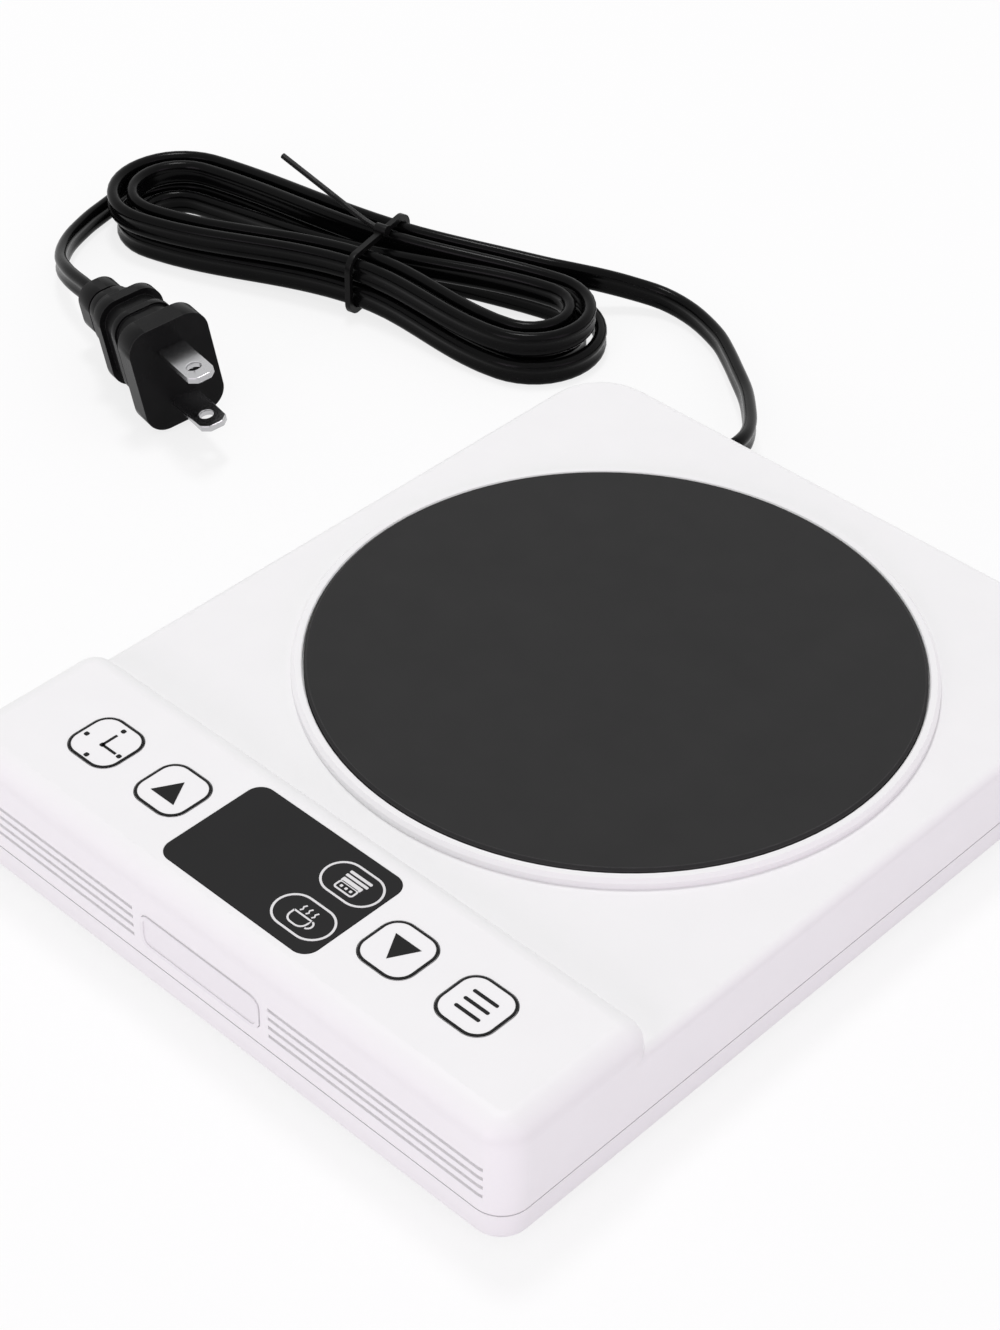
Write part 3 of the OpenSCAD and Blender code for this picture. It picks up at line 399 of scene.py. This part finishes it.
# %% Soft boxes
LAMP_AIM = (0, 0, 0.02)


def soft_box(name, place, size, watts, colour):
    """A round area lamp that looks at the object."""
    lamp = bpy.data.lights.new(name, "AREA")
    lamp.shape = "DISK"
    lamp.size = size
    lamp.energy = watts
    lamp.color = colour
    obj = bpy.data.objects.new(name, lamp)
    bpy.context.scene.collection.objects.link(obj)
    obj.location = place
    obj.rotation_euler = (Vector(LAMP_AIM) - Vector(place)).to_track_quat("-Z", "Y").to_euler()


soft_box("overhead_box", place=(-0.35, 0.25, 1.3), size=0.3, watts=6.4, colour=(1, 1, 1))
soft_box("front_box", place=(0.1, -1.2, 0.3), size=0.8, watts=4.0, colour=(1, 0.85, 1))
soft_box("side_box", place=(1.25, 0.1, 0.3), size=0.9, watts=2.5, colour=(1, 0.73, 1))

# %% [markdown]
# Finishes.
# Every finish is a Principled shader with a little life in it: fine grain in the height, a slow drift in
# the roughness and the shade, and on metal and dark plastic edges painted lighter, partly as wear from
# handling and partly as a painted glint.
# Photographs of plastic could be wrapped round the pieces instead, but noise needs no unwrapping and
# stays sharp close up. It follows each object's own coordinates, so it stays put from any side.

# %% Nodes of a finish
class Recipe:
    """The nodes of one finish, with short words for those that come up again and again."""

    def __init__(self, name):
        self.mat, self.nodes, self.links, out = new_material(name)
        self.skin = self.nodes.new("ShaderNodeBsdfPrincipled")
        self.links.new(self.skin.outputs[0], out.inputs["Surface"])
        self.where = self.nodes.new("ShaderNodeTexCoord").outputs["Object"]

    def noise(self, scale, detail):
        """Noise that stays put on the object."""
        tex = self.nodes.new("ShaderNodeTexNoise")
        tex.inputs["Scale"].default_value = scale
        tex.inputs["Detail"].default_value = detail
        self.links.new(self.where, tex.inputs["Vector"])
        return tex.outputs["Fac"]

    def ranged(self, source, low, high, start=0.3, end=0.7):
        """What runs from start to end in the source runs from low to high here."""
        ramp = self.nodes.new("ShaderNodeMapRange")
        for socket, value in (("From Min", start), ("From Max", end), ("To Min", low), ("To Max", high)):
            ramp.inputs[socket].default_value = value
        self.links.new(source, ramp.inputs["Value"])
        return ramp.outputs[0]

    def blend(self, share, first, second):
        """The first colour, and the second by that share."""
        mix = self.nodes.new("ShaderNodeMix")
        mix.data_type = "RGBA"
        for socket, value in (("A", first), ("B", second)):
            if isinstance(value, tuple):
                mix.inputs[socket].default_value = value
            else:
                self.links.new(value, mix.inputs[socket])
        self.links.new(share, mix.inputs["Factor"])
        return mix.outputs["Result"]


# %% [markdown]
# Rubbed edges and painted glints.
# Where hands and drawers touch a thing, its edges go lighter first, and a rounded edge catches a thin
# glint.
# The lighter colour painted here stands for both: partly wear, partly a painted highlight. That could be
# painted by hand, edge by edge. Here a Bevel node finds them: where a rounded normal and the true one
# part, there is an edge. Noise breaks the line up, so that it looks handled and not outlined.

# %% Find the edges
EDGE_MM = 0.35
EDGE_SAMPLES = 4
WEAR_GLINT_SCALE = 400


# The lighter edge is partly wear and partly a painted highlight along the edge.
def wear_and_glint_edges(recipe, edge):
    """How much of an edge there is, up to that amount."""
    nodes, links = recipe.nodes, recipe.links
    surface = nodes.new("ShaderNodeNewGeometry")
    rounded = nodes.new("ShaderNodeBevel")
    rounded.samples = EDGE_SAMPLES
    rounded.inputs["Radius"].default_value = EDGE_MM * MM
    turn = nodes.new("ShaderNodeVectorMath")
    turn.operation = "DOT_PRODUCT"
    links.new(rounded.outputs["Normal"], turn.inputs[0])
    links.new(surface.outputs["Normal"], turn.inputs[1])
    amount = nodes.new("ShaderNodeMath")
    amount.operation = "MULTIPLY"
    sharp = recipe.ranged(turn.outputs["Value"], low=edge, high=0.0, start=0.8, end=0.99)
    links.new(sharp, amount.inputs[0])
    broken = recipe.ranged(recipe.noise(WEAR_GLINT_SCALE, detail=3), low=0.4, high=1.0)
    links.new(broken, amount.inputs[1])
    return amount.outputs[0]


# %% One recipe for grained finishes
DRIFT_SCALE, SHADE_SCALE = 45, 120
LEAST_ROUGH = 0.02
# How much lighter an edge is made: wear and a painted glint.
WEAR_AND_GLINT_LIGHTER = 0.3


def grained(name, colour, rough, grain_mm=0.4, height_mm=0.01, drift=0.05, metal=0.0, specular=0.5,
            shade=0.03, edge=0.0):
    """A Principled finish with grain, a drift in roughness and shade, and edges lighter by edge: wear and
    painted glint.
    """
    recipe = Recipe(name)
    skin, links = recipe.skin.inputs, recipe.links
    skin["Metallic"].default_value = metal
    skin["Specular IOR Level"].default_value = specular
    smooth, coarse = max(rough - drift, LEAST_ROUGH), min(rough + drift, 1)
    links.new(recipe.ranged(recipe.noise(DRIFT_SCALE, detail=3), smooth, coarse), skin["Roughness"])
    darker = (*[c * (1 - shade) for c in colour], 1)
    lighter = (*[min(c * (1 + shade), 1) for c in colour], 1)
    tint = recipe.blend(recipe.ranged(recipe.noise(SHADE_SCALE, detail=2), 0, 1), darker, lighter)
    # Lighter edges: partly wear, partly a painted glint along the edge.
    if edge:
        worn_and_glinting = (*[c + (1 - c) * WEAR_AND_GLINT_LIGHTER for c in colour], 1)
        tint = recipe.blend(wear_and_glint_edges(recipe, edge), tint, worn_and_glinting)
    links.new(tint, skin["Base Color"])
    bump = recipe.nodes.new("ShaderNodeBump")
    bump.inputs["Distance"].default_value = height_mm * MM
    bump.inputs["Strength"].default_value = 1.0
    links.new(recipe.noise(1 / (grain_mm * MM), detail=2), bump.inputs["Height"])
    links.new(bump.outputs[0], skin["Normal"])
    return recipe.mat


FINISH = {}


def add_finish(name, colour, **look):
    """Mix a finish and keep it by its name."""
    FINISH[name] = grained(name, colour, **look)


# %% [markdown]
# White plastics.
# Case, ring, keys and front plate are moulded in nearly the same white. A pure white would burn out and
# lose its shape, so the colour stays below it. One finish could serve all four, but they differ in gloss:
# the front plate is the smoothest, the case the most matt.

# %% White finishes
WHITE = (0.865, 0.865, 0.867)
add_finish("case_white", WHITE, rough=0.45, grain_mm=0.5, height_mm=0.006, drift=0.04, specular=0.35,
           shade=0.006)
add_finish("ring_white", WHITE, rough=0.38, grain_mm=0.5, height_mm=0.004, drift=0.04, specular=0.35,
           shade=0.006)
add_finish("key_white", WHITE, rough=0.42, grain_mm=0.5, height_mm=0.004, drift=0.04, specular=0.35,
           shade=0.006)
add_finish("badge_white", (0.83, 0.825, 0.835), rough=0.33, grain_mm=0.5, height_mm=0.003, drift=0.04,
           specular=0.4, shade=0.006)
print("white finishes:", len(FINISH))

# %% [markdown]
# Dark surfaces.
# The hot plate is matt enamel, the display a smooth window, and cord, tie and plug are black vinyl and
# rubber. One black paint could serve them all. But on black, what is seen is mostly reflection, and in a
# white room that turns black to grey. So each has a low specular level of its own, and the roughness
# decides how far a glint spreads.

# %% Dark finishes
add_finish("plate_charcoal", (0.0284, 0.0284, 0.0284), rough=0.62, grain_mm=0.35, height_mm=0.012,
           drift=0.03, specular=0.07, edge=0.25)
add_finish("lens_dark", (0.022, 0.022, 0.0222), rough=0.25, grain_mm=2.0, height_mm=0.0008, drift=0.03,
           specular=0.05, shade=0.02)
add_finish("foot_rubber", (0.03, 0.03, 0.03), rough=0.75, grain_mm=0.3, height_mm=0.02, specular=0.2)
add_finish("cord_black", (0.0024, 0.0024, 0.0025), rough=0.2, grain_mm=0.6, height_mm=0.005, drift=0.04,
           specular=0.07, shade=0.2)
add_finish("relief_black", (0.004, 0.004, 0.0042), rough=0.36, grain_mm=0.6, drift=0.06, specular=0.055,
           shade=0.2)
add_finish("tie_black", (0.004, 0.004, 0.004), rough=0.35, grain_mm=0.6, drift=0.06, specular=0.1,
           shade=0.2)
add_finish("plug_black", (0.0062, 0.0062, 0.0064), rough=0.3, grain_mm=0.5, height_mm=0.008,
           specular=0.065, shade=0.2, edge=0.12)
print("with the dark ones:", len(FINISH))

# %% [markdown]
# Bright metal and print.
# The plug's blades and the screws are plated steel. Grey paint could stand for it, but would not mirror
# the pale room, so they are metallic, with edges painted brighter, partly as wear and partly as a painted
# glint. The prints on keys and display are matt ink, black or white.

# %% Metal and ink finishes
add_finish("screw_steel", (0.6, 0.6, 0.62), rough=0.35, grain_mm=0.3, metal=1.0, edge=0.3)
add_finish("blade_steel", (0.5, 0.5, 0.51), rough=0.24, grain_mm=0.6, height_mm=0.004, drift=0.06,
           metal=1.0, shade=0.05, edge=0.4)
add_finish("print_black", (0.008, 0.008, 0.008), rough=0.5, grain_mm=0.3, height_mm=0.002, specular=0.1)
add_finish("print_white", (0.74, 0.74, 0.74), rough=0.5, grain_mm=0.3, height_mm=0.002, specular=0.2)
print("with metal and ink:", len(FINISH))

# %% [markdown]
# The inside.
# Heater, boards, wires and clamp are out of sight behind the case, and one grey could serve them all.
# They still get finishes of their own, so that the model can be opened: brass and steel for the heater,
# green boards, coloured plastics, glass and ceramic.

# %% Inner finishes
add_finish("element_brass", (0.55, 0.42, 0.2), rough=0.35, grain_mm=0.3, metal=1.0, shade=0.08)
add_finish("sensor_brass", (0.6, 0.48, 0.24), rough=0.3, grain_mm=0.3, height_mm=0.006, metal=1.0,
           shade=0.06, edge=0.3)
add_finish("pan_steel", (0.5, 0.5, 0.51), rough=0.4, grain_mm=0.5, metal=1.0, shade=0.06, edge=0.3)
add_finish("clip_steel", (0.55, 0.55, 0.56), rough=0.3, height_mm=0.006, metal=1.0, shade=0.05,
           edge=0.3)
add_finish("pad_ceramic", (0.8, 0.79, 0.75), rough=0.95, grain_mm=0.25, height_mm=0.06, specular=0.1,
           shade=0.05)
add_finish("fuse_ceramic", (0.82, 0.8, 0.76), rough=0.6, grain_mm=0.3, specular=0.3)
add_finish("fuse_glass", (0.6, 0.64, 0.64), rough=0.08, grain_mm=1.5, height_mm=0.002)
add_finish("module_black", (0.02, 0.02, 0.021), rough=0.5, grain_mm=0.3, specular=0.3, edge=0.05)
add_finish("board_green", (0.02, 0.13, 0.05), rough=0.38, grain_mm=0.2, specular=0.4, shade=0.12)
add_finish("terminal_green", (0.04, 0.3, 0.12), rough=0.42, height_mm=0.008, specular=0.35, edge=0.05)
add_finish("relay_blue", (0.03, 0.1, 0.42), rough=0.36, height_mm=0.006, specular=0.4, edge=0.05)
add_finish("transformer_yellow", (0.62, 0.42, 0.04), rough=0.55, grain_mm=0.5, height_mm=0.02,
           specular=0.3)
add_finish("capacitor_dark", (0.02, 0.025, 0.045), rough=0.32, grain_mm=0.5, height_mm=0.006,
           specular=0.4)
add_finish("ribbon_grey", (0.42, 0.42, 0.43), rough=0.5, specular=0.3)
add_finish("wire_red", (0.48, 0.03, 0.025), rough=0.45, specular=0.35)
add_finish("wire_white", (0.78, 0.78, 0.77), rough=0.45, specular=0.35)
add_finish("clamp_white", (0.8, 0.8, 0.79), rough=0.5, specular=0.35)
print("finishes in all:", len(FINISH))

# %% [markdown]
# Put the finishes on.
# The part's own record names a finish for every solid. They could be set by hand, piece by piece, but
# fifty are many, and a loop over the record forgets none.

# %% Finish every solid
mains_cord.data.materials.append(FINISH["cord_black"])
for piece in frame["record"]["subparts"]:
    for held in SOLIDS[piece["node"]].material_slots:
        held.material = FINISH[piece["material_slot"]]

# %% [markdown]
# Moulded edges.
# Nothing that comes out of a mould or off a press has a knife edge, and it is the thin bright line along
# a rounded edge that makes a dark plug readable. The rounding could be modelled into each solid. A Bevel
# modifier on the sharp edges gives the same look and leaves the solids as they are.

# %% Round the sharp edges
SEAM_MM = 0.005
EDGE_STEPS, EDGE_ANGLE = 3, 35
SOFT_EDGES = {
    "plug_body": 0.5, "plug_blades": 0.25, "strain_relief": 0.35, "cord_tie": 0.4, "badge_plate": 0.15,
    "display_lens": 0.1, "case_screws": 0.25,
}


def soften(node, width_mm):
    """Weld the seams between a solid's faces, then round its sharp edges by that width."""
    weld = SOLIDS[node].modifiers.new("join_seams", "WELD")
    weld.merge_threshold = SEAM_MM * MM
    bevel = SOLIDS[node].modifiers.new("round_edges", "BEVEL")
    bevel.width = width_mm * MM
    bevel.segments = EDGE_STEPS
    bevel.limit_method = "ANGLE"
    bevel.angle_limit = math.radians(EDGE_ANGLE)


for node, width_mm in SOFT_EDGES.items():
    soften(node, width_mm)
print("rounded:", [o.name for o in SOLIDS.values() if o.modifiers])

# %% [markdown]
# Printed marks.
# The four keys carry a black frame and a sign, and the display shows two pale pills with a pot and a cup.
# They could be painted by a texture, but then they blur close up. As ink they are thin sheets of mesh,
# laid on the surface and given a hair of thickness.

# %% A sheet of ink
INK_MM = 0.06


def printed(name, verts, faces, body, finish, offset):
    """A sheet of ink that rides on a body: verts in metres, thickened to one side of the sheet."""
    mesh = bpy.data.meshes.new(name)
    mesh.from_pydata(verts, [], faces)
    mesh.materials.append(FINISH[finish])
    obj = bpy.data.objects.new(name, mesh)
    bpy.context.scene.collection.objects.link(obj)
    depth = obj.modifiers.new("ink_depth", "SOLIDIFY")
    depth.thickness = INK_MM * MM
    depth.offset = offset
    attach(obj, body)


# %% Flat shapes of ink
class Ink:
    """Collects flat shapes in mm and lays them on a level as one thin printed piece."""

    def __init__(self):
        self.verts, self.faces = [], []

    def fill(self, points):
        """A filled outline."""
        start = len(self.verts)
        self.verts += points
        self.faces.append(tuple(range(start, start + len(points))))

    def line(self, points, width, closed=False):
        """A line of even width through the points."""
        n, start = len(points), len(self.verts)
        for i, (x, y) in enumerate(points):
            ahead = points[(i + 1) % n] if closed or i + 1 < n else points[i]
            behind = points[i - 1] if closed or i > 0 else points[i]
            dx, dy = ahead[0] - behind[0], ahead[1] - behind[1]
            size = math.hypot(dx, dy)
            nx, ny = -dy / size * width / 2, dx / size * width / 2
            self.verts += [(x - nx, y - ny), (x + nx, y + ny)]
        for i in range(n if closed else n - 1):
            a, b = start + 2 * i, start + 2 * ((i + 1) % n)
            self.faces.append((a, b, b + 1, a + 1))

    def lay(self, name, middle, level, body, finish):
        """Print all shapes as one piece, round that middle and at that level."""
        verts = [((middle[0] + x) * MM, (middle[1] + y) * MM, level) for x, y in self.verts]
        printed(name, verts, self.faces, body, finish, offset=1)


# %% Outlines
def arc(cx, cy, r, a0, a1, steps=10):
    """Points of an arc, with its angles in degrees."""
    turn = [math.radians(a0 + (a1 - a0) * k / steps) for k in range(steps + 1)]
    return [(cx + r * math.cos(a), cy + r * math.sin(a)) for a in turn]


def rounded_box(w, h, r, cx=0.0, cy=0.0):
    """Outline of a box with round corners."""
    x, y = w / 2 - r, h / 2 - r
    return (arc(cx + x, cy + y, r, 0, 90) + arc(cx - x, cy + y, r, 90, 180)
            + arc(cx - x, cy - y, r, 180, 270) + arc(cx + x, cy - y, r, 270, 360))


def middle_of(node):
    """The middle of a solid in plan, in mm."""
    low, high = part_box(node)
    return ((low[0] + high[0]) / 2 / MM, (low[1] + high[1]) / 2 / MM)


print("middle of the display in mm:", [round(c, 2) for c in middle_of("display_lens")])

# %% [markdown]
# The keys.
# Each key is a square cap with a black line round its edge and a plain sign: a clock, two arrows and
# three bars. The line is printed on top. Black paint also runs over the edge a little way down the sides,
# as painted shade of the gap round the cap, so no white rim shows round it. Ring and sign ride on the
# key's own body and go down with it.

# %% Signs of the keys
SIGN_LINE, CLOCK_DOT = 0.55, 0.95


def clock_sign(ink):
    hub = (0, -0.9)
    for end in ((0, 2.6), (3.6, -0.9)):
        ink.line([hub, end], SIGN_LINE)
    for x, y in (hub, (-4.3, -0.9), (0, 4.1), (4.5, -0.9), (0, -4.6)):
        ink.fill(rounded_box(CLOCK_DOT, CLOCK_DOT, 0.3, x, y))


def up_sign(ink):
    ink.fill([(-3.0, -2.6), (3.0, -2.6), (0, 2.7)])


def down_sign(ink):
    ink.fill([(-3.0, 2.5), (0, -2.8), (3.0, 2.5)])


def menu_sign(ink):
    for y in (-2.2, 0, 2.2):
        ink.fill(rounded_box(5.6, 0.7, 0.3, 0, y))


# %% Print the keys
KEY_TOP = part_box("timer_key")[1][2]
KEY_SIZE, KEY_CORNER = 11.6, 3.6
# The drop is how far down the cap's sides the black paint runs, as painted shade of the gap.
FRAME_LINE, GAP_SHADE_DROP = 0.4, 0.15
KEY_FRAME = rounded_box(KEY_SIZE - FRAME_LINE, KEY_SIZE - FRAME_LINE, KEY_CORNER - FRAME_LINE / 2)
KEY_OUTLINE = rounded_box(KEY_SIZE, KEY_SIZE, KEY_CORNER)


def painted_gap_shade_band(key):
    """Black paint over the cap's edge and a little way down its sides, as painted shade of the gap round
    it.
    """
    mx, my = middle_of(key + "_key")
    n = len(KEY_OUTLINE)
    levels = (KEY_TOP, KEY_TOP - GAP_SHADE_DROP * MM)
    verts = [((mx + x) * MM, (my + y) * MM, z) for z in levels for x, y in KEY_OUTLINE]
    faces = [(i, (i + 1) % n, n + (i + 1) % n, n + i) for i in range(n)]
    printed(key + "_gap_shade_print", verts, faces, key + "_button", "print_black", offset=-1)


for key, sign in (("timer", clock_sign), ("up", up_sign), ("down", down_sign), ("menu", menu_sign)):
    ink = Ink()
    ink.line(KEY_FRAME, FRAME_LINE, closed=True)
    sign(ink)
    ink.lay(key + "_print", middle_of(key + "_key"), KEY_TOP, key + "_button", "print_black")
    # Black paint down the cap's sides stands for the shade in the gap round the key.
    painted_gap_shade_band(key)
print("key prints laid at", round(KEY_TOP / MM, 2), "mm")

# %% [markdown]
# The display.
# Behind the dark window two pale pills are lit, one with a pot and one with a cup. On the real one they
# are cut-outs in a mask with light behind. Seen by day they look like white print, so white ink on the
# window does.

# %% Signs of the display
LENS_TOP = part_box("display_lens")[1][2]
PILL = rounded_box(12.2, 7.8, 3.89)
PILL_LINE = 0.44
THIN_LINE, STEAM_LINE = 0.36, 0.32


def pot_sign(ink):
    for y in (2.05, 1.05):
        ink.fill(rounded_box(5.2, 0.6, 0.2, 0.1, y))
    ink.fill(rounded_box(4.6, 1.0, 0.2, 0, -0.1))
    ink.line(rounded_box(4.2, 1.8, 0.5, 0, -1.5), THIN_LINE, closed=True)
    for x in (-1.1, 0, 1.1):
        ink.fill(rounded_box(0.55, 0.55, 0.15, x, -1.5))


def cup_sign(ink):
    foot = arc(0.2, -0.8, 1.5, 0, -90, 6) + arc(-0.9, -0.8, 1.5, -90, -180, 6)
    ink.line([(-2.4, 0.2), (1.7, 0.2), (1.7, -0.6)] + foot + [(-2.4, 0.2)], THIN_LINE)
    ink.line(arc(1.75, -0.75, 1.0, 75, -75, 8), THIN_LINE)
    for x in (-1.7, -0.3, 1.1):
        ink.line([(x, 0.75), (x + 0.3, 1.2), (x, 1.7), (x + 0.3, 2.3)], STEAM_LINE)


# %% Print the display
PILL_PLACES = {"pot": (11.5, 5.5), "cup": (11.3, -5.7)}
LENS_X, LENS_Y = middle_of("display_lens")

for name, sign in (("pot", pot_sign), ("cup", cup_sign)):
    x, y = PILL_PLACES[name]
    ink = Ink()
    ink.line(PILL, PILL_LINE, closed=True)
    sign(ink)
    ink.lay(name + "_print", (LENS_X + x, LENS_Y + y), LENS_TOP, "case", "print_white")
print("display prints laid at", round(LENS_TOP / MM, 2), "mm")
